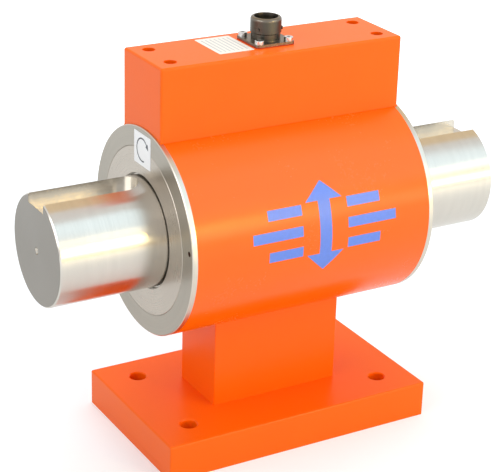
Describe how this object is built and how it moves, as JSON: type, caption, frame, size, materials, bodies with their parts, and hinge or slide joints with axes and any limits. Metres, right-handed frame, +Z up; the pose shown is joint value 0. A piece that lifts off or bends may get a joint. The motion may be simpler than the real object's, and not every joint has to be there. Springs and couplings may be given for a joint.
{
  "type": "rotary torque sensor",
  "caption": "Rotary torque sensor with a keyed through shaft in a round foot-mounted housing, an electronics box on top and a round connector.",
  "frame": {"origin": "middle of the base plate's underside, which is the bottom centre of the whole part", "axes": "+X along the shaft towards the end with the signal transformer, +Z up towards the connector"},
  "size_m": [0.312, 0.132, 0.2702],
  "materials": {
    "housing_paint": "satin orange enamel",
    "shaft_steel": "turned and ground",
    "cap_steel": "face turned",
    "cover_steel": "face turned",
    "bearing_steel": "ground and polished",
    "cage_brass": "machined",
    "spring_steel": "oiled black",
    "core_iron": "pressed and sintered",
    "winding_copper": "enamelled copper wire",
    "spacer_aluminium": "turned",
    "wheel_steel": "milled",
    "seal_rubber": "matt black",
    "board_laminate": "solder mask",
    "chip_plastic": "moulded",
    "can_aluminium": "sleeved can",
    "black_steel": "black oxide",
    "zinc_steel": "zinc plated",
    "pickup_brass": "nickel plated",
    "gauge_film": "amber film",
    "lead_insulation": "insulated wire",
    "connector_black": "dark olive plating",
    "insert_plastic": "moulded",
    "pin_gold": "gold plated"
  },
  "bodies": {
    "housing": {"base_plate": "housing_paint", "pedestal": "housing_paint", "base_screws": "black_steel", "housing_sleeve": "housing_paint", "pedestal_screws": "black_steel", "cap_seal_rings": "seal_rubber", "preload_spring": "spring_steel", "left_end_cap": "cap_steel", "right_end_cap": "cap_steel", "left_cover": "cover_steel", "right_cover": "cover_steel", "left_outer_ring": "bearing_steel", "right_outer_ring": "bearing_steel", "energy_stator_core": "core_iron", "energy_stator_winding": "winding_copper", "signal_stator_core": "core_iron", "signal_stator_winding": "winding_copper", "left_spacer": "spacer_aluminium", "middle_spacer": "spacer_aluminium", "right_spacer": "spacer_aluminium", "lead_grommets": "seal_rubber", "stator_leads": "lead_insulation", "speed_pickup": "pickup_brass", "pickup_nut": "zinc_steel", "pickup_lead": "lead_insulation", "board_standoffs": "zinc_steel", "circuit_board": "board_laminate", "board_screws": "zinc_steel", "board_chips": "chip_plastic", "board_capacitors": "can_aluminium", "box_gasket": "seal_rubber", "electronics_box": "housing_paint", "box_screws": "black_steel", "connector_gasket": "seal_rubber", "connector_shell": "connector_black", "connector_insert": "insert_plastic", "connector_pins": "pin_gold", "connector_leads": "lead_insulation", "connector_screws": "zinc_steel"},
    "rotor": {"torsion_shaft": "shaft_steel", "left_inner_ring": "bearing_steel", "right_inner_ring": "bearing_steel", "bearing_circlips": "spring_steel", "core_circlips": "spring_steel", "energy_rotor_core": "core_iron", "energy_rotor_winding": "winding_copper", "signal_rotor_core": "core_iron", "signal_rotor_winding": "winding_copper", "speed_wheel": "wheel_steel", "strain_gauges": "gauge_film", "gauge_leads": "lead_insulation", "rotor_boards": "board_laminate", "rotor_board_spacers": "spacer_aluminium", "rotor_board_screws": "zinc_steel", "rotor_leads": "lead_insulation"},
    "left_ball_set": {"left_cage": "cage_brass", "left_balls": "bearing_steel"},
    "right_ball_set": {"right_cage": "cage_brass", "right_balls": "bearing_steel"}
  },
  "joints": [
    {"name": "shaft_spin", "type": "hinge", "parent": "housing", "child": "rotor", "pos_m": [0, 0, 0.145], "axis": [1, 0, 0], "continuous": true},
    {"name": "left_ball_spin", "type": "hinge", "parent": "housing", "child": "left_ball_set", "pos_m": [-0.07, 0, 0.145], "axis": [1, 0, 0], "continuous": true},
    {"name": "right_ball_spin", "type": "hinge", "parent": "housing", "child": "right_ball_set", "pos_m": [0.07, 0, 0.145], "axis": [1, 0, 0], "continuous": true}
  ],
  "couplings": [
    {"joint": "left_ball_spin", "follows": "shaft_spin", "ratio": 0.4517},
    {"joint": "right_ball_spin", "follows": "shaft_spin", "ratio": 0.4517}
  ]
}
